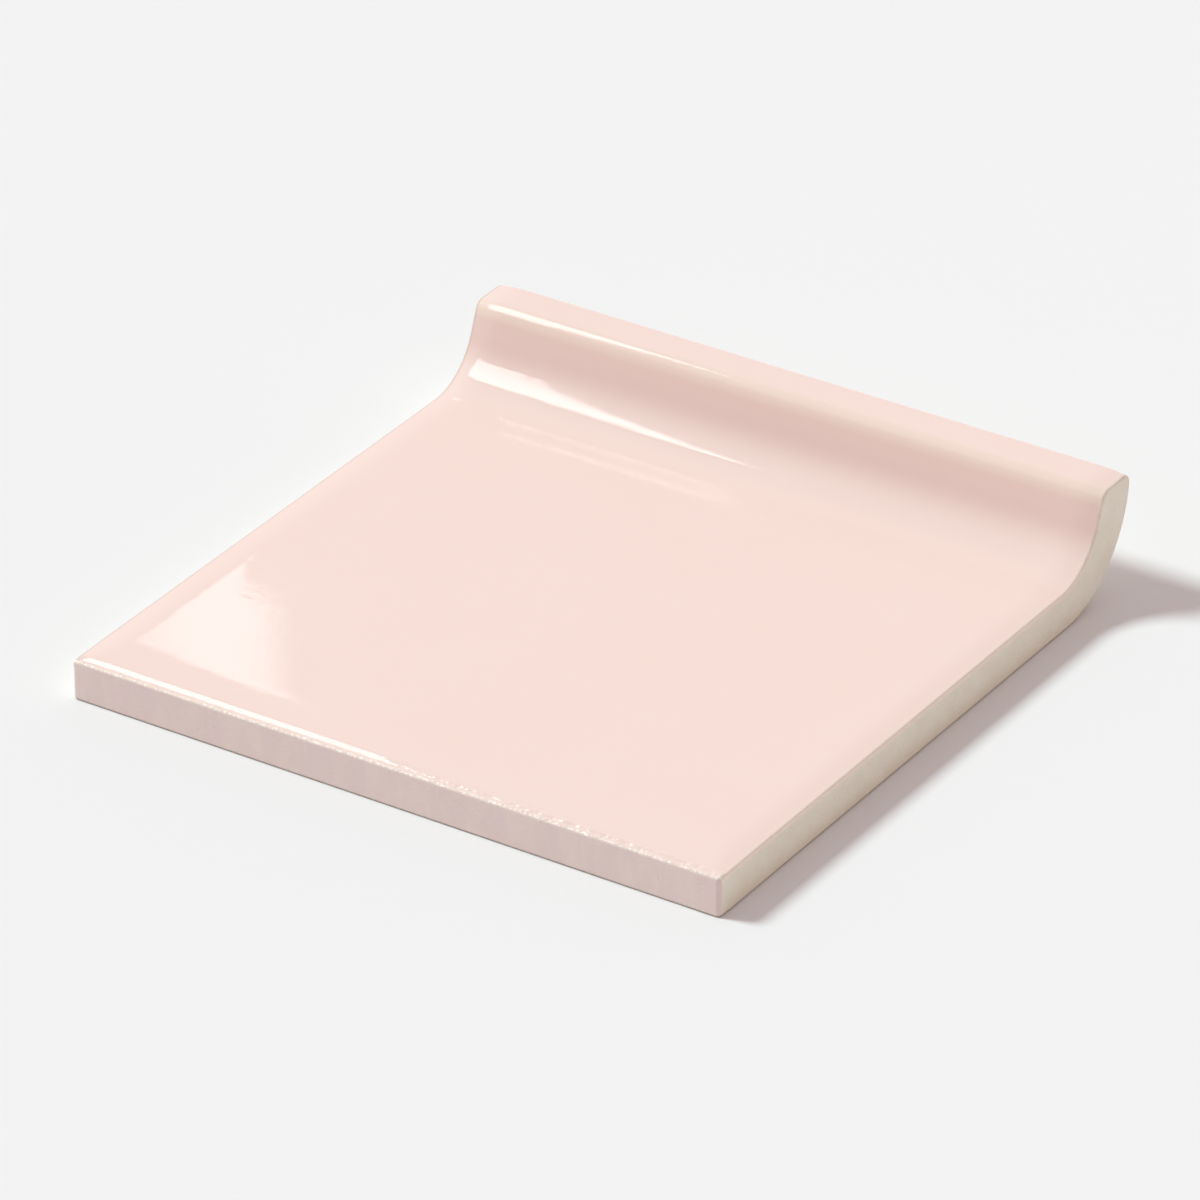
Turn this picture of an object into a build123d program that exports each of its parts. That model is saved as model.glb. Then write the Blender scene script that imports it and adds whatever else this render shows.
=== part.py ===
from build123d import *
import os
from math import radians, sqrt, tan

# One cove base tile, six-inch module, pressed and fired in one piece.
# It lies on its bedding face: X runs along the width from joint to joint,
# Y runs from the top edge to the tip of the toe, and Z rises off the bed.
# The origin is on the bed, under the middle of the plan.

# Plan
tile_width = 151.0
tile_length = 154.4

# Section
slab_thickness = 9.3
toe_height = 25.3
toe_thickness = 10.4
toe_lean = 22.0
sole_flat = 0.7

# Rounds of the section
face_cove_radius = 14.2
back_cove_radius = 24.5
crest_front_radius = 3.0
crest_back_radius = 2.4
sole_blend_radius = 4.0

# Cushion along both ends, rolled down from the face
cushion_width = 7.5
cushion_drop = 0.65

# Cushion along the top edge: a long slight fall, then a short roll to the arris
field_margin = 13.0
field_fall = 0.3
roll_width = 2.8
roll_drop = 0.45

# Arrises
corner_radius = 1.0
arris_radius = 0.5

# Keying grooves pressed into the bedding face, clear of every edge
groove_width = 5.0
groove_depth = 0.7
groove_draft = 30.0
groove_pitch = 12.0
groove_inset = 11.0

# Places worked out from the sizes above
end_x = tile_width / 2
top_edge_y = -tile_length / 2
toe_tip_y = tile_length / 2
crest_front_y = toe_tip_y - toe_thickness
root_y = crest_front_y - (toe_height - slab_thickness) * tan(radians(toe_lean))
sole_z = toe_height - crest_back_radius - sole_flat
sole_rise = back_cove_radius - sole_z
bed_end_y = toe_tip_y - sqrt(back_cove_radius**2 - sole_rise**2)
face_end_y = top_edge_y + field_margin
roll_y = top_edge_y + roll_width
roll_z = slab_thickness - field_fall
top_edge_z = roll_z - roll_drop
groove_length = tile_width - 2 * groove_inset
groove_middle_y = (top_edge_y + bed_end_y) / 2
groove_field = bed_end_y - top_edge_y - 2 * groove_inset
groove_count = 1 + int((groove_field - groove_width) / groove_pitch)
overrun = 2.0

with BuildPart() as cove_base_tile:
    # The section, drawn from the bed round the toe to the face
    with BuildSketch(Plane.YZ) as section:
        with BuildLine():
            bed = Line((top_edge_y, 0), (bed_end_y, 0))
            back_cove = TangentArc(bed @ 1, (toe_tip_y, sole_z), tangent=bed % 1)
            sole = Line(back_cove @ 1, (toe_tip_y, toe_height))
            crest = Line(sole @ 1, (crest_front_y, toe_height))
            toe_front = Line(crest @ 1, (root_y, slab_thickness))
            face = Line(toe_front @ 1, (face_end_y, slab_thickness))
            fall = TangentArc(face @ 1, (roll_y, roll_z), tangent=face % 1)
            roll = TangentArc(fall @ 1, (top_edge_y, top_edge_z), tangent=fall % 1)
            Line(roll @ 1, bed @ 0)
        make_face()
        root_corner = section.vertices().sort_by_distance((root_y, slab_thickness))[0]
        fillet(root_corner, face_cove_radius)
        crest_corners = section.vertices().group_by(Axis.Y)[-1]
        fillet(crest_corners.sort_by(Axis.X)[0], crest_front_radius)
        crest_corners = section.vertices().group_by(Axis.Y)[-1]
        fillet(crest_corners.sort_by(Axis.X)[-1], crest_back_radius)
        tip_corners = section.vertices().group_by(Axis.X)[-1]
        fillet(tip_corners.sort_by(Axis.Y)[0], sole_blend_radius)
    extrude(amount=end_x, both=True)

    # Upright corners of the top edge, then the arris round the bed, the ends and the top edge
    fillet(cove_base_tile.edges().filter_by(Axis.Z).group_by(Axis.Y)[0], corner_radius)
    bed_face = cove_base_tile.faces().sort_by(Axis.Z)[0]
    top_edge_face = cove_base_tile.faces().filter_by(Axis.Y).sort_by(Axis.Y)[0]
    fillet(bed_face.edges() + top_edge_face.edges().sort_by(Axis.Z)[-1:], arris_radius)

    # The cushion: one sliver, swept along face, cove, toe front and crest, at both ends
    with BuildLine(Plane.YZ) as face_path:
        FilletPolyline(
            (top_edge_y - overrun, slab_thickness),
            (root_y, slab_thickness),
            (crest_front_y, toe_height),
            (toe_tip_y + overrun, toe_height),
            radius=[face_cove_radius, crest_front_radius],
        )
    path_start = face_path.line @ 0
    with BuildSketch(Plane(origin=path_start, x_dir=(1, 0, 0), z_dir=(0, 1, 0))) as sliver:
        # In this plane the second axis points down into the tile
        with BuildLine():
            shore = Line((end_x - cushion_width, -overrun), (end_x - cushion_width, 0))
            cushion = TangentArc(shore @ 1, (end_x, cushion_drop), tangent=(1, 0))
            Polyline(
                cushion @ 1,
                (end_x, cushion_drop + overrun),
                (end_x + overrun, cushion_drop + overrun),
                (end_x + overrun, -overrun),
                shore @ 0,
            )
        make_face()
        arris = sliver.vertices().sort_by_distance((end_x, cushion_drop))[0]
        fillet(arris, arris_radius)
        mirror(about=Plane.YZ)
    sweep(path=face_path.line, mode=Mode.SUBTRACT)

    # Keying grooves across the bedding face, round-ended, evenly spaced on its flat
    with BuildSketch(Plane.XY) as grooves:
        with Locations((0, groove_middle_y)):
            with GridLocations(0, groove_pitch, 1, groove_count):
                SlotOverall(groove_length, groove_width)
    extrude(amount=groove_depth, taper=groove_draft, mode=Mode.SUBTRACT)

cove_base_tile.part.label = "cove_base_tile"
os.makedirs("parts", exist_ok=True)
export_step(cove_base_tile.part, "parts/cove_base_tile.step")
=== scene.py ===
import math

import bpy
from mathutils import Matrix, Vector


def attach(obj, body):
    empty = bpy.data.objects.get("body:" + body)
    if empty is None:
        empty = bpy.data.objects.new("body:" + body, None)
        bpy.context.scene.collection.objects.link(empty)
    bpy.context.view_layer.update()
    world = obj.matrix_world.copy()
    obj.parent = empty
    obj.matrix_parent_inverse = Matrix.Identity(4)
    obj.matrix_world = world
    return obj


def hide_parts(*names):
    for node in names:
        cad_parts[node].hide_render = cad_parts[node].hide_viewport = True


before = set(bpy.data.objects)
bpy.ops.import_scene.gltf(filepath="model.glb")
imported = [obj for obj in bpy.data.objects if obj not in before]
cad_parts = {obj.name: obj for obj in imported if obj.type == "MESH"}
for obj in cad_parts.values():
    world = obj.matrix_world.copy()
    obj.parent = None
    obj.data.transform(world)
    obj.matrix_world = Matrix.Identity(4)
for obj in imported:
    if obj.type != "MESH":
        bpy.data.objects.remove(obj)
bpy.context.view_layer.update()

# The cove base tile: one piece of earthenware, pressed to one section from joint to joint,
# glazed on its face and fired. The face is cushioned along both ends and the top edge, and
# the bed has keying grooves. The section is drawn first, then a tree runs it along the width.

# Sizes in millimetres and degrees, as in the solid
MM, METRE = 0.001, 1000.0
WIDTH, LENGTH = 151.0, 154.4
SLAB, TOE_HEIGHT, TOE_THICKNESS, TOE_LEAN = 9.3, 25.3, 10.4, 22.0
SOLE_FLAT = 0.7
COVE_RADIUS, BACK_RADIUS = 14.2, 24.5
CREST_FRONT, CREST_BACK, SOLE_BLEND = 3.0, 2.4, 4.0
FIELD_MARGIN, FIELD_FALL, ROLL_WIDTH, ROLL_DROP = 13.0, 0.3, 2.8, 0.45
CUSHION_WIDTH, CUSHION_DROP, MITRE_SOFTNESS = 7.5, 0.65, 0.12
ARRIS, CORNER = 0.5, 1.0
GROOVE_WIDTH, GROOVE_DEPTH, GROOVE_DRAFT = 5.0, 0.7, 30.0
GROOVE_PITCH, GROOVE_INSET = 12.0, 11.0

# How the mesh is divided, and how far the arris and the upright corner ease into the section
STATIONS, RINGS, RING_STEP = 190, 8, 0.2
CUTTER_FACETS, CUTTER_RINGS = 46, 10
ARRIS_REACH, CORNER_REACH = 4.0, 3.0
WELD = 1e-7

# The glaze stops this far in from the arris, and this many steps round the back of the crest;
# the flat ends are bare, so they count as far outside its rim
GLAZE_MARGIN, GLAZED_BACK_STEPS = 0.35, 13
BARE_END = -9.0

top_y, tip_y = -LENGTH / 2, LENGTH / 2
crest_y = tip_y - TOE_THICKNESS
half_turn = math.radians(90 - TOE_LEAN) / 2
root_y = crest_y - (TOE_HEIGHT - SLAB) * math.tan(math.radians(TOE_LEAN))
sole_z = TOE_HEIGHT - CREST_BACK - SOLE_FLAT
bed_end_y = tip_y - math.sqrt(BACK_RADIUS**2 - (BACK_RADIUS - sole_z) ** 2)

# The fall and the roll of the top edge are two arcs, each leaving the last one smoothly
fall_radius = (FIELD_MARGIN - ROLL_WIDTH) ** 2 / (2 * FIELD_FALL) + FIELD_FALL / 2
fall_slope = math.asin((FIELD_MARGIN - ROLL_WIDTH) / fall_radius)
roll_turn = 2 * (math.atan2(ROLL_DROP, ROLL_WIDTH) - fall_slope)
roll_radius = math.hypot(ROLL_DROP, ROLL_WIDTH) / (2 * math.sin(roll_turn / 2))
roll_y = top_y + ROLL_WIDTH + roll_radius * math.sin(fall_slope)
roll_z = SLAB - FIELD_FALL - roll_radius * math.cos(fall_slope)
arris_y = top_y + ARRIS
arris_z = roll_z + math.sqrt((roll_radius - ARRIS) ** 2 - (arris_y - roll_y) ** 2)
arris_end = math.degrees(math.atan2(arris_z - roll_z, arris_y - roll_y))
blend_y = tip_y - SOLE_BLEND
blend_z = BACK_RADIUS - math.sqrt((BACK_RADIUS - SOLE_BLEND) ** 2 - (blend_y - bed_end_y) ** 2)
blend_end = math.degrees(math.atan2(blend_z - BACK_RADIUS, blend_y - bed_end_y))

lean = math.radians(TOE_LEAN)
cove_y, cove_z = root_y - COVE_RADIUS * math.tan(half_turn), SLAB + COVE_RADIUS
nose_y, nose_z = crest_y + CREST_FRONT * math.tan(half_turn), TOE_HEIGHT - CREST_FRONT
back_y, back_z = tip_y - CREST_BACK, TOE_HEIGHT - CREST_BACK
front_low = (cove_y + COVE_RADIUS * math.cos(lean), cove_z - COVE_RADIUS * math.sin(lean))
front_high = (nose_y - CREST_FRONT * math.cos(lean), nose_z + CREST_FRONT * math.sin(lean))
fall_y = top_y + FIELD_MARGIN
fall_top = math.degrees(fall_slope) + 90


def arc(y, z, radius, start, end, count, side=1):
    """Points of an arc with their outward directions; side is -1 where the clay is outside it."""
    turns = [math.radians(start + (end - start) * i / count) for i in range(count)]
    out = [(math.cos(t), math.sin(t)) for t in turns]
    return [(y + radius * c, z + radius * s, side * c, side * s) for c, s in out]


def line(start, end, out, count):
    """Points of a straight run, all with the same outward direction."""
    (y, z), (end_y, end_z) = start, end
    steps = [i / count for i in range(count)]
    return [(y + (end_y - y) * t, z + (end_z - z) * t, *out) for t in steps]


# The outline, from the foot of the top edge over the face and round the toe to the bed
stretches = {
    "top side": line((top_y, ARRIS), (top_y, arris_z), (-1, 0), 18),
    "top arris": arc(arris_y, arris_z, ARRIS, 180, arris_end, 8),
    "roll": arc(roll_y, roll_z, roll_radius, arris_end, fall_top, 12),
    "fall": arc(fall_y, SLAB - fall_radius, fall_radius, fall_top, 90, 14),
    "face": line((fall_y, SLAB), (cove_y, SLAB), (0, 1), 44),
    "face cove": arc(cove_y, cove_z, COVE_RADIUS, -90, -TOE_LEAN, 40, side=-1),
    "toe front": line(front_low, front_high, (-math.cos(lean), math.sin(lean)), 8),
    "crest front": arc(nose_y, nose_z, CREST_FRONT, 180 - TOE_LEAN, 90, 16),
    "crest": line((nose_y, TOE_HEIGHT), (back_y, TOE_HEIGHT), (0, 1), 10),
    "crest back": arc(back_y, back_z, CREST_BACK, 90, 0, 18),
    "tip": line((tip_y, back_z), (tip_y, blend_z), (1, 0), 1),
    "sole blend": arc(blend_y, blend_z, SOLE_BLEND, 0, blend_end, 3),
    "back cove": arc(bed_end_y, BACK_RADIUS, BACK_RADIUS, blend_end, -90, 44),
    "bed": line((bed_end_y, 0), (arris_y, 0), (0, -1), 40),
    "bed arris": arc(arris_y, ARRIS, ARRIS, -90, -180, 8),
}
outline, first = [], {}
for name, stretch in stretches.items():
    first[name] = len(outline)
    outline += stretch

# Distance along the outline from its first point, and the two places where the glaze stops
run = [0.0]
for here, there in zip(outline, outline[1:]):
    run.append(run[-1] + math.dist(here[:2], there[:2]))
whole = run[-1] + math.dist(outline[-1][:2], outline[0][:2])
arris_start, arris_stop = run[first["top arris"]], run[first["roll"]]
glaze_start = (arris_start + arris_stop) / 2
glaze_end = run[first["crest back"] + GLAZED_BACK_STEPS]

# How each point draws in where the ends are rounded: square to the surface, and by the
# mitre of the two surfaces round a tight arris, easing back over a few millimetres
roll_out = outline[first["roll"]][2:]
top_mitre = (1.0, -(1 + roll_out[0]) / roll_out[1])
bed_mitre = (1.0, 1.0)
draw_in, end_radius, cushion, fall_here, reach = [], [], [], [], []
for i, (y, z, out_y, out_z) in enumerate(outline):
    on_top_side = i < first["top arris"]
    on_face = first["top arris"] <= i < first["back cove"]
    top_gap = max(arris_start - run[i], run[i] - arris_stop, 0)
    bed_gap = run[i] if on_top_side else max(run[first["bed arris"]] - run[i], 0)
    pull_y, pull_z = -out_y, -out_z
    for mitre, gap in ((top_mitre, top_gap), (bed_mitre, bed_gap)):
        ease = max(0.0, 1 - gap / ARRIS_REACH)
        sideways = -mitre[0] * out_z + mitre[1] * out_y
        if gap == 0:
            pull_y, pull_z = mitre
        else:
            pull_y += ease * sideways * -out_z
            pull_z += ease * sideways * out_y
    draw_in += [0.0, pull_y, pull_z]
    corner_gap = 0.0 if on_top_side else min(run[i] - arris_start, whole - run[i])
    corner_share = max(0, 1 - corner_gap / CORNER_REACH)
    end_radius.append((ARRIS + (CORNER - ARRIS) * corner_share) * MM)
    facing_up = on_face and (y > back_y or i < first["roll"])
    cushion.append(max(0.0, out_z) if facing_up else float(on_face))
    fall_here.append(max(0.0, SLAB - z) * MM if i < first["face"] else 0.0)
    reach.append(min(run[i] - glaze_start, glaze_end - run[i]))
section_values = {
    "draw_in": ("FLOAT_VECTOR", "vector", draw_in),
    "end_radius": ("FLOAT", "value", end_radius),
    "cushion": ("FLOAT", "value", cushion),
    "fall": ("FLOAT", "value", fall_here),
    "reach": ("FLOAT", "value", reach),
}

section = bpy.data.meshes.new("section")
section.from_pydata([(0, y * MM, z * MM) for y, z, *_ in outline], [], [])
for name, (kind, held_as, values) in section_values.items():
    section.attributes.new(name, kind, "POINT").data.foreach_set(held_as, values)
tile = bpy.data.objects.new("cushioned_tile", section)
bpy.context.scene.collection.objects.link(tile)

groove_field = bed_end_y - top_y - 2 * GROOVE_INSET
groove_count = 1 + int((groove_field - GROOVE_WIDTH) / GROOVE_PITCH)
groove_start = (top_y + bed_end_y) / 2 - (groove_count - 1) * GROOVE_PITCH / 2
groove_wall = GROOVE_DEPTH * math.tan(math.radians(GROOVE_DRAFT))
finish = bpy.data.materials.new("glazed_earthenware")
sizes = {
    "Half width": ("NodeSocketFloat", WIDTH / 2 * MM),
    "Cushion width": ("NodeSocketFloat", CUSHION_WIDTH * MM),
    "Cushion drop": ("NodeSocketFloat", CUSHION_DROP * MM),
    "Mitre softness": ("NodeSocketFloat", MITRE_SOFTNESS * MM),
    "Stations": ("NodeSocketInt", STATIONS),
    "Rings": ("NodeSocketInt", RINGS),
    "Ring step": ("NodeSocketFloat", RING_STEP * MM),
    "Groove count": ("NodeSocketInt", groove_count),
    "Groove pitch": ("NodeSocketFloat", GROOVE_PITCH * MM),
    "Groove start": ("NodeSocketFloat", groove_start * MM),
    "Groove length": ("NodeSocketFloat", (WIDTH - 2 * GROOVE_INSET) * MM),
    "Groove width": ("NodeSocketFloat", GROOVE_WIDTH * MM),
    "Groove depth": ("NodeSocketFloat", GROOVE_DEPTH * MM),
    "Groove wall": ("NodeSocketFloat", groove_wall * MM),
    "Finish": ("NodeSocketMaterial", finish),
}

shape = bpy.data.node_groups.new("cushioned_tile", "GeometryNodeTree")
shape.interface.new_socket("Section", in_out="INPUT", socket_type="NodeSocketGeometry")
shape.interface.new_socket("Tile", in_out="OUTPUT", socket_type="NodeSocketGeometry")
for name, (kind, _) in sizes.items():
    shape.interface.new_socket(name, in_out="INPUT", socket_type=kind)

# The kinds of node that come again and again
MATH, VECTOR, PLACE = "ShaderNodeMath", "ShaderNodeVectorMath", "ShaderNodeCombineXYZ"


def add(tree, kind, *values, **settings):
    """Adds a node with its settings; values fill its sockets in order, or a dict by their names."""
    node = tree.nodes.new(kind)
    for key, value in settings.items():
        setattr(node, key, value)
    by_name = values and isinstance(values[0], dict)
    for key, value in (values[0] if by_name else dict(enumerate(values))).items():
        if isinstance(value, bpy.types.NodeSocket):
            tree.links.new(value, node.inputs[key])
        else:
            node.inputs[key].default_value = value
    return node.outputs


given = add(shape, "NodeGroupInput")
half_width, groove_width = given["Half width"], given["Groove width"]

# The skin: a grid of stations across the width by points round the section, one row too many
# so that it closes; outside the last stations lie the rings of the flat ends
points = add(shape, "GeometryNodeAttributeDomainSize", given["Section"])["Point Count"]
rows = add(shape, MATH, points, 1, operation="ADD")[0]
grid_size = {"Vertices X": given["Stations"], "Vertices Y": rows}
skin = add(shape, "GeometryNodeMeshGrid", grid_size)["Mesh"]
index = add(shape, "GeometryNodeInputIndex")[0]
middle_index = add(shape, MATH, index, 0.5, operation="ADD")[0]
column = add(shape, MATH, middle_index, rows, operation="DIVIDE")[0]
column = add(shape, MATH, column, operation="FLOOR")[0]
row = add(shape, MATH, column, rows, operation="MULTIPLY")[0]
row = add(shape, MATH, index, row, operation="SUBTRACT")[0]
row = add(shape, MATH, row, points, operation="MODULO")[0]
last = add(shape, MATH, given["Stations"], 1, operation="SUBTRACT")[0]
from_last = add(shape, MATH, last, column, operation="SUBTRACT")[0]
from_end = add(shape, MATH, column, from_last, operation="MINIMUM")[0]
ring = add(shape, MATH, given["Rings"], from_end, operation="SUBTRACT")[0]
ring = add(shape, MATH, ring, 0, operation="MAXIMUM")[0]
ring_steps = add(shape, MATH, given["Rings"], 2, operation="MULTIPLY")[0]
body_steps = add(shape, MATH, last, ring_steps, operation="SUBTRACT")[0]

# Stations stand as a sine across the width, so they crowd together towards the ends
across = add(shape, MATH, column, given["Rings"], operation="SUBTRACT")[0]
across = add(shape, MATH, across, body_steps, operation="DIVIDE")[0]
quarters = {"Value": across, "To Min": -math.pi / 2, "To Max": math.pi / 2}
across = add(shape, "ShaderNodeMapRange", quarters)[0]
across = add(shape, MATH, across, operation="SINE")[0]
x = add(shape, MATH, across, half_width, operation="MULTIPLY")[0]
size_x = add(shape, MATH, x, operation="ABSOLUTE")[0]

# What the section carries at this row
carried = {}
for name, (kind, *_) in section_values.items():
    carried[name] = add(
        shape, "GeometryNodeInputNamedAttribute", {"Name": name}, data_type=kind
    )[0]
place = add(shape, "GeometryNodeInputPosition")[0]
carried["place"] = place
for name, field in carried.items():
    kind = "FLOAT_VECTOR" if name == "place" else section_values[name][0]
    sampled = {"Geometry": given["Section"], "Value": field, "Index": row}
    carried[name] = add(
        shape, "GeometryNodeSampleIndex", sampled, data_type=kind, domain="POINT"
    )[0]
radius, fall = carried["end_radius"], carried["fall"]

# Arris: a quarter round of the end radius
past = add(shape, MATH, half_width, radius, operation="SUBTRACT")[0]
past = add(shape, MATH, size_x, past, operation="SUBTRACT")[0]
past = add(shape, MATH, past, 0, operation="MAXIMUM")[0]
past_squared = add(shape, MATH, past, past, operation="MULTIPLY")[0]
rise = add(shape, MATH, radius, radius, operation="MULTIPLY")[0]
rise = add(shape, MATH, rise, past_squared, operation="SUBTRACT")[0]
rise = add(shape, MATH, rise, 0, operation="MAXIMUM")[0]
rise = add(shape, MATH, rise, operation="SQRT")[0]
rounding = add(shape, MATH, radius, rise, operation="SUBTRACT")[0]

# Cushion: a parabola over its width, meeting the fall of the top edge in a soft mitre
shore = add(shape, MATH, half_width, given["Cushion width"], operation="SUBTRACT")[0]
share = add(shape, MATH, size_x, shore, operation="SUBTRACT")[0]
share = add(shape, MATH, share, 0, operation="MAXIMUM")[0]
share = add(shape, MATH, share, given["Cushion width"], operation="DIVIDE")[0]
drop = add(shape, MATH, share, share, operation="MULTIPLY")[0]
drop = add(shape, MATH, drop, given["Cushion drop"], operation="MULTIPLY")[0]
soft = given["Mitre softness"]
soft = add(shape, MATH, soft, soft, operation="MULTIPLY")[0]


def over(value):
    """Half the sum of a value and its softened size: zero below nothing, the value above it."""
    size = add(shape, MATH, value, value, operation="MULTIPLY")[0]
    size = add(shape, MATH, size, soft, operation="ADD")[0]
    size = add(shape, MATH, size, operation="SQRT")[0]
    size = add(shape, MATH, value, size, operation="ADD")[0]
    return add(shape, MATH, size, 0.5, operation="MULTIPLY")[0]


beyond_fall = add(shape, MATH, drop, fall, operation="SUBTRACT")[0]
no_drop = add(shape, MATH, fall, -1, operation="MULTIPLY")[0]
extra = add(shape, MATH, over(beyond_fall), over(no_drop), operation="SUBTRACT")[0]
extra = add(shape, MATH, extra, carried["cushion"], operation="MULTIPLY")[0]
ring_inset = add(shape, MATH, ring, given["Ring step"], operation="MULTIPLY")[0]
inset = add(shape, MATH, rounding, extra, operation="ADD")[0]
inset = add(shape, MATH, inset, ring_inset, operation="ADD")[0]
pulled = {0: carried["draw_in"], "Scale": inset}
pulled = add(shape, VECTOR, pulled, operation="SCALE")[0]
placed = add(shape, VECTOR, carried["place"], pulled, operation="ADD")[0]
sideways = add(shape, PLACE, {"X": x})[0]
placed = add(shape, VECTOR, placed, sideways, operation="ADD")[0]
skin = add(shape, "GeometryNodeSetPosition", {"Geometry": skin, "Position": placed})[0]

# How far the glaze reaches in from its rim, in millimetres; less than nothing is bare clay
inland = add(shape, MATH, half_width, size_x, operation="SUBTRACT")[0]
inland = add(shape, MATH, inland, rounding, operation="ADD")[0]
inland = add(shape, MATH, inland, ring_inset, operation="SUBTRACT")[0]
inland = add(shape, MATH, inland, METRE, operation="MULTIPLY")[0]
inland = add(shape, MATH, inland, GLAZE_MARGIN, operation="SUBTRACT")[0]
rim = add(shape, MATH, inland, carried["reach"], operation="MINIMUM")[0]
skin = {"Geometry": skin, "Name": "rim", "Value": rim}
skin = add(shape, "GeometryNodeStoreNamedAttribute", skin)[0]
skin = add(shape, "GeometryNodeMergeByDistance", {"Geometry": skin, "Distance": WELD})[0]

# The two ends: the last ring is filled flat, and its mirror image closes the other end
edge_faces = add(shape, "GeometryNodeInputMeshEdgeNeighbors")[0]
open_edge = {2: edge_faces, 3: 1}
open_edge = add(shape, "FunctionNodeCompare", open_edge, data_type="INT", operation="EQUAL")[0]
apart = add(shape, "ShaderNodeSeparateXYZ", place)
right = {"data_type": "FLOAT", "operation": "GREATER_THAN"}
right = add(shape, "FunctionNodeCompare", apart["X"], 0.0, **right)[0]
wanted = add(shape, "FunctionNodeBooleanMath", open_edge, right, operation="AND")[0]
loop = add(shape, "GeometryNodeMeshToCurve", {"Mesh": skin, "Selection": wanted})[0]
flat = add(shape, PLACE, {"X": apart["Y"], "Y": apart["Z"]})[0]
loop = add(shape, "GeometryNodeSetPosition", {"Geometry": loop, "Position": flat})[0]
cap = add(shape, "GeometryNodeFillCurve", {"Curve": loop}, mode="TRIANGLES")[0]
upright = add(shape, PLACE, {"X": half_width, "Y": apart["X"], "Z": apart["Y"]})[0]
cap = add(shape, "GeometryNodeSetPosition", {"Geometry": cap, "Position": upright})[0]
cap = {"Geometry": cap, "Name": "rim", "Value": BARE_END}
cap = add(shape, "GeometryNodeStoreNamedAttribute", cap)[0]
cap = add(shape, "GeometryNodeSetShadeSmooth", {"Geometry": cap, "Shade Smooth": False})[0]
twin = add(shape, "GeometryNodeTransform", {"Geometry": cap, "Scale": (-1, 1, 1)})[0]
twin = add(shape, "GeometryNodeFlipFaces", {"Mesh": twin})[0]
body = add(shape, "GeometryNodeJoinGeometry")[0]
for part in (skin, cap, twin):
    shape.links.new(part, body.node.inputs[0])
body = add(shape, "GeometryNodeMergeByDistance", {"Geometry": body, "Distance": WELD})[0]

# Keying grooves: a drafted cutter, drawn out to the groove's length, at every pitch
groove_half = add(shape, MATH, groove_width, 2, operation="DIVIDE")[0]
floor_half = add(shape, MATH, groove_half, given["Groove wall"], operation="SUBTRACT")[0]
mouth_half = add(shape, MATH, groove_half, given["Groove wall"], operation="ADD")[0]
cutter_depth = add(shape, MATH, given["Groove depth"], 2, operation="MULTIPLY")[0]
cutter_sizes = {
    "Vertices": CUTTER_FACETS,
    "Side Segments": CUTTER_RINGS,
    "Radius Top": floor_half,
    "Radius Bottom": mouth_half,
    "Depth": cutter_depth,
}
cutter = add(shape, "GeometryNodeMeshCone", cutter_sizes)[0]
stretch = add(shape, MATH, given["Groove length"], 2, operation="DIVIDE")[0]
stretch = add(shape, MATH, stretch, groove_half, operation="SUBTRACT")[0]
cutter_side = add(shape, MATH, apart["X"], operation="SIGN")[0]
stretch = add(shape, MATH, cutter_side, stretch, operation="MULTIPLY")[0]
sunk = add(shape, MATH, given["Groove depth"], -1, operation="MULTIPLY")[0]
draw_out = add(shape, PLACE, {"X": stretch, "Z": sunk})[0]
cutter = add(shape, "GeometryNodeSetPosition", {"Geometry": cutter, "Offset": draw_out})[0]
line_of_grooves = {
    "Count": given["Groove count"],
    "Start Location": add(shape, PLACE, {"Y": given["Groove start"]})[0],
    "Offset": add(shape, PLACE, {"Y": given["Groove pitch"]})[0],
}
starts = add(shape, "GeometryNodeMeshLine", line_of_grooves)[0]
cutters = add(shape, "GeometryNodeInstanceOnPoints", {"Points": starts, "Instance": cutter})[0]
cutters = add(shape, "GeometryNodeRealizeInstances", {"Geometry": cutters})[0]
cut = {"Mesh 1": body, "Mesh 2": cutters}
body = add(shape, "GeometryNodeMeshBoolean", cut, operation="DIFFERENCE", solver="EXACT")[0]
body = add(shape, "GeometryNodeRealizeInstances", {"Geometry": body})[0]
dressed = {"Geometry": body, "Material": given["Finish"]}
body = add(shape, "GeometryNodeSetMaterial", dressed)[0]
add(shape, "NodeGroupOutput", {"Tile": body})

# The finish: a gloss glaze on earthenware, pale pink, which gives the eye sharp lamp glints on
# the rounds and is cream where it ran thin; painted shade deepens its pink below the crest and
# at the left rim, painted light lifts the crest and the right rim, and painted glints dot the
# bead. Past its rim the bisque is bare: buff, open and matt, pitted and speckled, with a breath
# of glaze on the top edge.
# Sizes and limits are in millimetres on the tile; shares run from nothing to one.
finish.use_nodes = True
coat = finish.node_tree
coat.nodes.clear()
GLAZE_IOR, BISQUE_IOR, BISQUE_ROUGHNESS = 1.5, 1.4, 0.88
LIMITS, SMOOTH = "ShaderNodeMapRange", {"interpolation_type": "SMOOTHSTEP"}

on_tile = add(coat, "ShaderNodeTexCoord")["Object"]
millimetres = add(coat, VECTOR, {0: on_tile, "Scale": METRE}, operation="SCALE")[0]
along = add(coat, "ShaderNodeSeparateXYZ", millimetres)
height = along["Z"]
from_top = add(coat, MATH, along["Y"], LENGTH / 2, operation="ADD")[0]


def linear(code):
    """An sRGB colour code as linear light."""
    parts = [int(code[i : i + 2], 16) / 255 for i in (1, 3, 5)]
    return [p / 12.92 if p <= 0.04045 else ((p + 0.055) / 1.055) ** 2.4 for p in parts] + [1.0]


def grain(size, detail=2.0, stretch=(1, 1, 1)):
    """Noise with lumps about this many millimetres across, longer where a stretch is under 1."""
    scale = tuple(METRE * k / size for k in stretch)
    where = add(coat, "ShaderNodeMapping", {"Vector": on_tile, "Scale": scale})[0]
    noise = {"Vector": where, "Scale": 1.0, "Detail": detail}
    return add(coat, "ShaderNodeTexNoise", noise)["Fac"]


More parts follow.
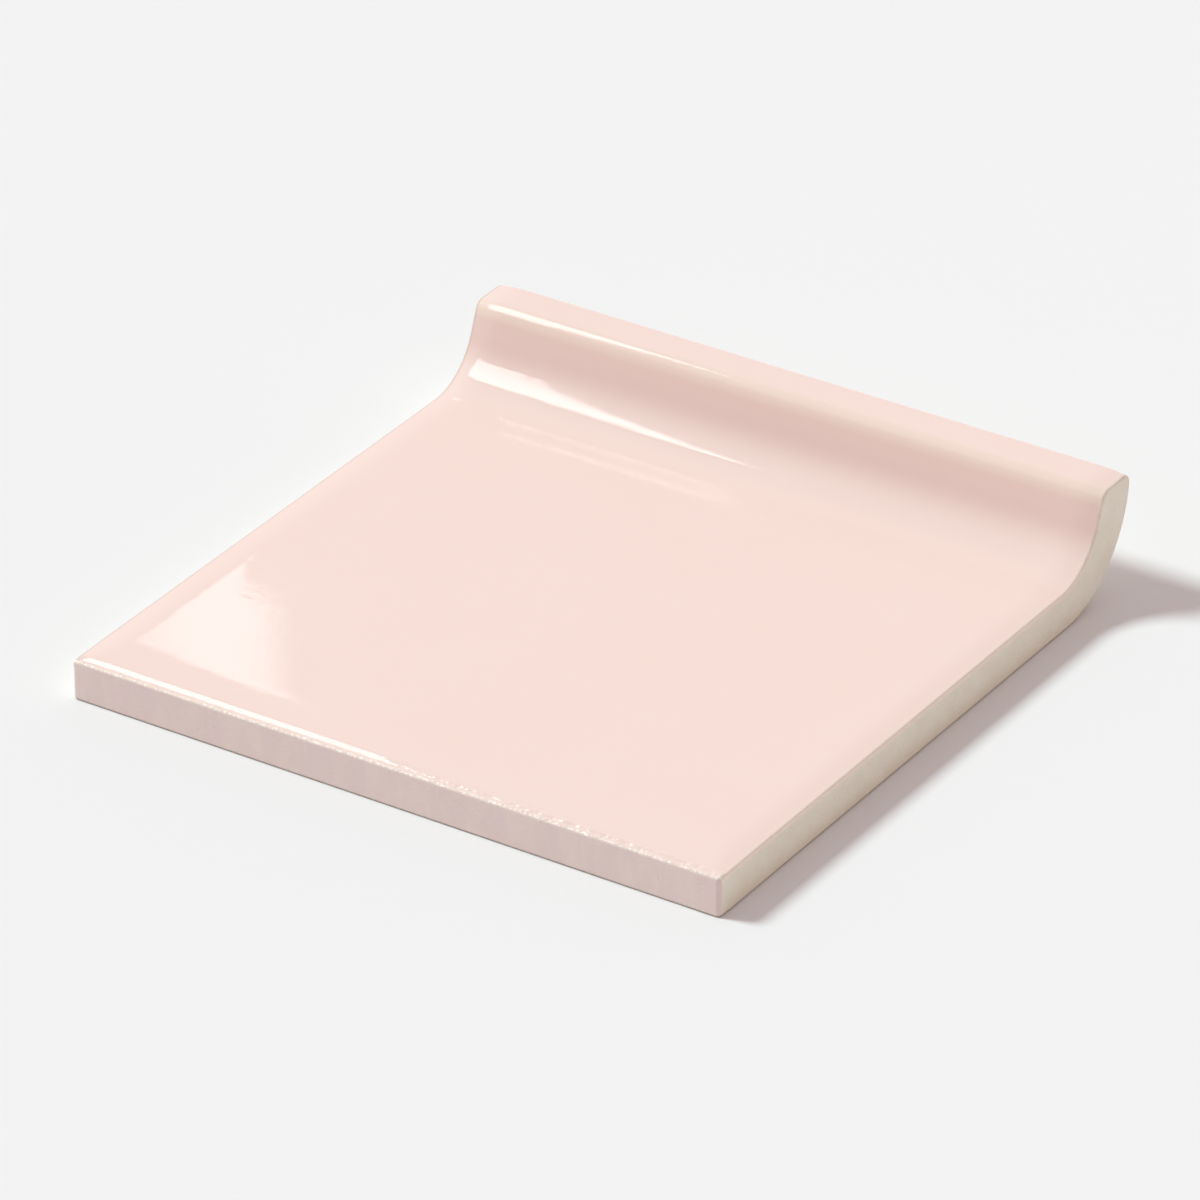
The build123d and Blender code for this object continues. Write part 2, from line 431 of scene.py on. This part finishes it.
def spots(cell, share, radius):
    """Soft round spots, in a share of the cells that are this many millimetres across."""
    scale = (METRE / cell,) * 3
    where = add(coat, "ShaderNodeMapping", {"Vector": on_tile, "Scale": scale})[0]
    cells = add(coat, "ShaderNodeTexVoronoi", {"Vector": where, "Scale": 1.0})
    drawn = add(coat, "ShaderNodeSeparateColor", cells["Color"])[0]
    kept = add(coat, MATH, drawn, share, operation="LESS_THAN")[0]
    spot = add(coat, LIMITS, cells["Distance"], radius, radius * 0.4, **SMOOTH)[0]
    return add(coat, MATH, spot, kept, operation="MULTIPLY")[0]


def summed(*terms):
    """Terms added up, each of them the product of its factors."""
    total = None
    for value, *factors in terms:
        for factor in factors:
            value = add(coat, MATH, value, factor, operation="MULTIPLY")[0]
        total = value if total is None else add(coat, MATH, total, value, operation="ADD")[0]
    return total


def layered(colour, *layers):
    """A colour with others laid over it in turn, each by the product of its shares."""
    for top, *shares in layers:
        top = linear(top) if isinstance(top, str) else top
        mixed = {0: summed(shares), 6: colour, 7: top}
        colour = add(coat, "ShaderNodeMix", mixed, data_type="RGBA")[2]
    return colour


# Where the glaze ends: it runs a little over the arris of the slab, ragged by a few tenths
rim = add(coat, "ShaderNodeAttribute", attribute_name="rim")["Fac"]
on_slab = add(coat, LIMITS, height, 16.0, 10.0, **SMOOTH)[0]
run_over = add(coat, LIMITS, from_top, 0.6, 2.0, 0.0, 0.2, **SMOOTH)[0]
ragged = add(coat, MATH, grain(1.1, 4.0), 0.5, operation="SUBTRACT")[0]
depth = summed((rim,), (on_slab, run_over), (ragged, 0.6))
glazed = add(coat, LIMITS, depth, -0.08, 0.08, **SMOOTH)[0]

# Places on the glaze, from where each begins to where it is full
pooling = grain(18.0, 3.0)
in_section = add(coat, PLACE, {"Y": along["Y"], "Z": height})[0]
crest_corner = add(coat, PLACE, {"Y": nose_y - 1.6, "Z": nose_z + 0.6})[0]
from_corner = add(coat, VECTOR, in_section, crest_corner, operation="DISTANCE")["Value"]
crest_thin_glaze_and_sheen = add(coat, LIMITS, from_corner, 3.3, 1.3, 0.0, 0.45, **SMOOTH)[0]
thin_at_rim = add(coat, LIMITS, depth, 1.2, 0.1, **SMOOTH)[0]
shade_hollow_floor = add(coat, LIMITS, height, 12.0, 17.5, **SMOOTH)[0]
shade_hollow_brow = add(coat, LIMITS, height, 23.6, 21.4, **SMOOTH)[0]
right_rim_cream_and_light = add(coat, LIMITS, along["X"], 74.8, 75.4, 0.0, 0.9, **SMOOTH)[0]
left_rim_painted_shade = add(coat, LIMITS, along["X"], -74.5, -75.3, 0.0, 0.85, **SMOOTH)[0]
bead_glint_spots = add(coat, LIMITS, grain(0.7, 1.0), 0.50, 0.60, **SMOOTH)[0]
on_bead = add(coat, LIMITS, depth, 0.8, 0.4, **SMOOTH)[0]
bead_at_top = add(coat, LIMITS, from_top, 1.6, 1.0, 0.0, 0.9, **SMOOTH)[0]
line_outside = add(coat, LIMITS, depth, -0.25, 0.0, **SMOOTH)[0]
line_inside = add(coat, LIMITS, depth, 0.35, 0.05, **SMOOTH)[0]
line_breaks = add(coat, LIMITS, grain(2.4, 3.0), 0.40, 0.62, **SMOOTH)[0]
line_on_toe = add(coat, LIMITS, height, 9.0, 15.0, 0.1, 1.0, **SMOOTH)[0]
glaze_colour = layered(
    linear("#FAE2D9"),
    ("#F9E0D7", pooling),  # body pink, uneven by a hair
    # cream where the glaze runs thin along the crest, partly painted light standing for the glow
    # under the crest highlight
    ("#F4DECD", crest_thin_glaze_and_sheen),  # cream along the crest
    ("#F6E5D8", thin_at_rim, 0.6),  # cream towards the rim
    # painted shade: deeper pink in the hollow below the crest, where the toe front falls in shade
    ("#E2BDB7", shade_hollow_floor, shade_hollow_brow, 0.45),  # deeper pink below the crest
    ("#FFF6E6", spots(9.0, 0.05, 0.035), 0.8),  # a few pale specks
    # cream of the thin glaze at the right end's rim, made lighter as painted light on that shaded
    # end
    ("#FBECDE", right_rim_cream_and_light),
    # painted shade: darker pink glaze at the left end's rim, which faces the sun
    ("#DDB8AD", left_rim_painted_shade),
    # painted glints: near-white spots on the tops of the bead where it would catch the lamps
    ("#FFF9EE", bead_glint_spots, on_bead, bead_at_top),  # bright tops of the bead
    ("#BFA78C", line_outside, line_inside, line_breaks, 0.25, line_on_toe),  # tan line
)

# Glaze surface: glassy with a slight wave, a lumpy bead where it stops, drops along the right
# half of the top edge, a rounder roll there, a bend in the toe front and a flat crest line
bead_reach = add(coat, LIMITS, depth, 1.3, 0.3, **SMOOTH)[0]
bead_height = add(coat, LIMITS, from_top, 3.0, 1.5, 0.04, 0.28, **SMOOTH)[0]
drops_at_top = add(coat, LIMITS, from_top, 2.8, 1.6, **SMOOTH)[0]
drops_at_right = add(coat, LIMITS, along["X"], -10.0, 20.0, **SMOOTH)[0]
roll_outer = add(coat, MATH, 3.2, from_top, operation="SUBTRACT")[0]
roll_outer = add(coat, MATH, roll_outer, 0.0, operation="MAXIMUM")[0]
roll_inner = add(coat, MATH, 2.5, from_top, operation="SUBTRACT")[0]
roll_inner = add(coat, MATH, roll_inner, 0.0, operation="MAXIMUM")[0]
toe_bend = add(coat, LIMITS, height, 17.0, 24.0, 0.0, -0.30, **SMOOTH)[0]
crest_line = add(coat, PLACE, {"Y": nose_y - 1.76, "Z": nose_z + 2.43})[0]
from_line = add(coat, VECTOR, in_section, crest_line, operation="DISTANCE")["Value"]
crest_flat = add(coat, LIMITS, from_line, 1.3, 0.0, 0.0, -0.06, **SMOOTH)[0]
relief = summed(
    (grain(5.0, 2.0), 0.014),  # long wave
    (grain(0.9, 2.0), 0.0025),  # fine wave
    (grain(0.8, 3.0), bead_reach, bead_height),  # lumps of the bead
    (roll_inner, roll_inner, 0.3345),  # these two tilt the roll evenly,
    (roll_outer, roll_outer, -0.296),  # by about 26 degrees to its end
    (grain(4.0, 2.0), drops_at_top, drops_at_right, 0.62),
    (toe_bend,),
    (crest_flat,),
)
relief = {"Strength": 1.0, "Distance": MM, "Height": relief}
end_gap = add(coat, MATH, along["X"], operation="ABSOLUTE")[0]
end_gap = add(coat, MATH, WIDTH / 2, end_gap, operation="SUBTRACT")[0]
smears = grain(12.0, 4.0)
gloss = {
    "Base Color": glaze_colour,
    "Roughness": add(coat, LIMITS, smears, 0.3, 0.7, 0.035, 0.075, **SMOOTH)[0],
    "IOR": GLAZE_IOR,
    "Specular IOR Level": add(coat, LIMITS, end_gap, 0.1, 0.8, 0.1, 0.5, **SMOOTH)[0],
    "Normal": add(coat, "ShaderNodeBump", relief)[0],
}
gloss = add(coat, "ShaderNodeBsdfPrincipled", gloss)[0]

# Bare bisque: buff and open, with painted shade warming it towards the bed, a painted contact
# shadow darkening its foot, painted shade making the left arris pinker, and a sprayed breath of
# glaze in upright streaks on the side of the top edge
speckle, pits = grain(0.5, 4.0), spots(2.2, 0.18, 0.10)
clay = add(coat, LIMITS, grain(3.5, 4.0), 0.3, 0.7, **SMOOTH)[0]
shade_near_bed = add(coat, LIMITS, height, 4.0, 0.5, 0.0, 0.35, **SMOOTH)[0]
flecks = add(coat, LIMITS, speckle, 0.56, 0.74, 0.0, 0.35, **SMOOTH)[0]
mist = add(coat, LIMITS, grain(4.5, 3.0, (1, 1, 0.35)), 0.3, 0.7, **SMOOTH)[0]
streaks = add(coat, LIMITS, grain(1.3, 3.0, (1, 1, 0.25)), 0.55, 0.8, 0.0, 0.2, **SMOOTH)[0]
on_top_side = add(coat, LIMITS, from_top, 1.0, 0.5, **SMOOTH)[0]
on_arris = add(coat, LIMITS, depth, -1.4, -0.8, **SMOOTH)[0]
contact_shade_foot = add(coat, LIMITS, height, 0.7, 0.1, 0.0, 0.7, **SMOOTH)[0]
sprayed = layered(linear("#E6D1CD"), ("#E9D6CF", mist), ("#F0E6DA", streaks))
bare_colour = layered(
    linear("#EEE9DA"),
    ("#EBE4D4", clay),
    # painted shade: warmer, darker bisque towards the bed, close to the floor
    ("#E6D6BA", shade_near_bed),
    ("#DCCFB9", flecks),
    ("#A89880", pits, 0.4),
    (sprayed, on_top_side),
    # painted shade: pinker, darker bisque on the left arris, which faces the sun
    ("#D8B6AA", on_arris, left_rim_painted_shade),
    # painted shadow: a dark band at the foot, where the tile touches the floor
    ("#9C8A7C", contact_shade_foot),
)
open_clay = {"Strength": 1.0, "Distance": MM, "Height": summed((speckle, 0.10), (pits, -0.12))}
bare = {
    "Base Color": bare_colour,
    "Roughness": BISQUE_ROUGHNESS,
    "IOR": BISQUE_IOR,
    "Normal": add(coat, "ShaderNodeBump", open_clay)[0],
}
bare = add(coat, "ShaderNodeBsdfPrincipled", bare)[0]
both = add(coat, "ShaderNodeMixShader", glazed, bare, gloss)[0]
add(coat, "ShaderNodeOutputMaterial", {"Surface": both})

# The tree is run once and its result kept as a plain mesh
maker = tile.modifiers.new("shape", "NODES")
maker.node_group = shape
for socket in shape.interface.items_tree:
    if socket.in_out == "INPUT" and socket.name in sizes:
        maker[socket.identifier] = sizes[socket.name][1]
ready = tile.evaluated_get(bpy.context.evaluated_depsgraph_get())
mesh = bpy.data.meshes.new_from_object(ready)
tile.modifiers.clear()
tile.data = mesh
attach(tile, "root")
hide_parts("cove_base_tile")

# The floor: a wide sheet of pale paper that the tile lies on. It is matt, so that it takes the
# tile's soft shadow and shows no glint.
FLOOR_REACH = 6.0
sides = ((-1, -1), (1, -1), (1, 1), (-1, 1))
floor_corners = [(FLOOR_REACH * x, FLOOR_REACH * y, 0) for x, y in sides]
floor_mesh = bpy.data.meshes.new("floor")
floor_mesh.from_pydata(floor_corners, [], [(0, 1, 2, 3)])
floor = bpy.data.objects.new("floor", floor_mesh)
bpy.context.scene.collection.objects.link(floor)
paper = bpy.data.materials.new("white_paper_sweep")
paper.use_nodes = True
paper.node_tree.nodes.clear()
sheet = add(paper.node_tree, "ShaderNodeBsdfDiffuse", {"Color": linear("#F2F2F2")})[0]
add(paper.node_tree, "ShaderNodeOutputMaterial", {"Surface": sheet})
floor.data.materials.append(paper)

# The room: soft light from all round, stronger on the window side, with low windows there and
# a reflector on the right that lift what faces the horizon. One broad sun shades the tile and
# gives no glint, because the glaze shows the lamp panels further down in its place.
ROOM_LIGHT = (0.515, 0.44, 0.44, 1)
WINDOW_SIDE = (-0.40, 0.38, 0.0)
LOW_WINDOWS, LOW_REFLECTOR, LOW_FADE = 0.5, 2.5, 4.0
KEY_ENERGY, KEY_COLOUR, KEY_BREADTH = 2.38, (0.853, 1.0, 1.0), 15.0
KEY_SIDE = (-0.68, -0.20, 0.73)

world = bpy.data.worlds.new("soft_room")
bpy.context.scene.world = world
world.use_nodes = True
room = world.node_tree
room.nodes.clear()
toward = add(room, "ShaderNodeTexCoord")["Generated"]
heading = add(room, "ShaderNodeSeparateXYZ", toward)
side = add(room, VECTOR, toward, WINDOW_SIDE, operation="DOT_PRODUCT")["Value"]
lowness = add(room, MATH, heading["Z"], 0.0, operation="MAXIMUM")[0]
lowness = add(room, MATH, 1.0, lowness, operation="SUBTRACT")[0]
lowness = add(room, MATH, lowness, LOW_FADE, operation="POWER")[0]
windows = add(room, MATH, side, 0.0, operation="MAXIMUM")[0]
windows = add(room, MATH, windows, LOW_WINDOWS, operation="MULTIPLY")[0]
reflector = add(room, MATH, heading["X"], 0.0, operation="MAXIMUM")[0]
reflector = add(room, MATH, reflector, LOW_REFLECTOR, operation="MULTIPLY")[0]
low_light = add(room, MATH, windows, reflector, operation="ADD")[0]
low_light = add(room, MATH, lowness, low_light, operation="MULTIPLY")[0]
level = add(room, MATH, side, 1.0, operation="ADD")[0]
level = add(room, MATH, level, low_light, operation="ADD")[0]
glow = add(room, "ShaderNodeBackground", {"Color": ROOM_LIGHT, "Strength": level})[0]
add(room, "ShaderNodeOutputWorld", {"Surface": glow})

key = bpy.data.lights.new("key", "SUN")
key.energy, key.color, key.angle = KEY_ENERGY, KEY_COLOUR, math.radians(KEY_BREADTH)
key_lamp = bpy.data.objects.new("key", key)
bpy.context.scene.collection.objects.link(key_lamp)
key_lamp.rotation_euler = Vector(KEY_SIDE).to_track_quat("Z", "Y").to_euler()
key_lamp.visible_glossy = False

# The lamp panels: a large softbox on the near left, and a low window behind the tile on the
# left. Each is a flat glowing sheet, seen only as a glint in the glaze: as the streak in the
# cove, the lines on crest and top edge, and the patch at the near left corner.
CM = 0.01


def lamp_panel(name, facing, distance, corners, *steps):
    """A glowing sheet, that far from the tile in metres, with its corners in centimetres.

    The glow is the product of smooth steps across the sheet: from, to, low and high glow."""
    facing = Vector(facing).normalized()
    level_way = Vector((0, 0, 1)).cross(facing).normalized()
    turn = Matrix((level_way, facing.cross(level_way), facing)).transposed().to_4x4()
    sheet_mesh = bpy.data.meshes.new(name)
    outline_points = [(a * CM, b * CM, 0) for a, b in corners]
    sheet_mesh.from_pydata(outline_points, [], [tuple(range(len(corners)))])
    panel = bpy.data.objects.new(name, sheet_mesh)
    bpy.context.scene.collection.objects.link(panel)
    panel.matrix_world = Matrix.Translation(facing * distance) @ turn
    shine = bpy.data.materials.new(name)
    shine.use_nodes = True
    tree = shine.node_tree
    tree.nodes.clear()
    on_panel = add(tree, "ShaderNodeTexCoord")["Object"]
    from_edge = add(tree, "ShaderNodeSeparateXYZ", on_panel)["X"]
    strength = 1.0
    for low, high, low_glow, high_glow in steps:
        step = add(tree, LIMITS, from_edge, low * CM, high * CM, low_glow, high_glow, **SMOOTH)[0]
        strength = add(tree, MATH, strength, step, operation="MULTIPLY")[0]
    glowing = add(tree, "ShaderNodeEmission", {"Strength": strength})[0]
    add(tree, "ShaderNodeOutputMaterial", {"Surface": glowing})
    panel.data.materials.append(shine)
    panel.visible_camera = False
    panel.visible_shadow = False
    panel.visible_diffuse = False


KEY_CORNERS = ((-9.6, 24), (29, -2), (22, -14), (-10, 1.6))
KEY_STEPS = ((-8, 28, 7.2, 6.4),)
lamp_panel("key_softbox", (-0.66, -0.18, 0.73), 0.8, KEY_CORNERS, *KEY_STEPS)
WINDOW_CORNERS = ((11, 1), (8, 4.6), (5.6, 4.6), (5.6, 0.6), (7.3, 0.2), (7.3, -1.3))
WINDOW_STEPS = ((5.9, 7.2, 0.6, 2.5), (10.4, 8.4, 0.7, 1.0))
lamp_panel("low_window", (-0.50, 0.70, 0.50), 0.6, WINDOW_CORNERS, *WINDOW_STEPS)

# The camera: a long lens over the near right corner of the tile, level from side to side.
# Its direction and place were solved from the straight edges of the tile.
CAMERA_AZIMUTH, CAMERA_ELEVATION = 32.912, 29.93
CAMERA_PLACE = (0.8126, -1.25775, 0.87086)
camera = bpy.data.cameras.new("camera")
camera.sensor_width, camera.lens = 36.0, 259.99
camera.clip_start, camera.clip_end = 0.1, 50.0
eye = bpy.data.objects.new("camera", camera)
bpy.context.scene.collection.objects.link(eye)
eye.location = CAMERA_PLACE
tilt = math.pi / 2 - math.radians(CAMERA_ELEVATION)
eye.rotation_euler = (tilt, 0.0, math.radians(CAMERA_AZIMUTH))
bpy.context.scene.camera = eye
bpy.context.scene.view_settings.view_transform = "Standard"
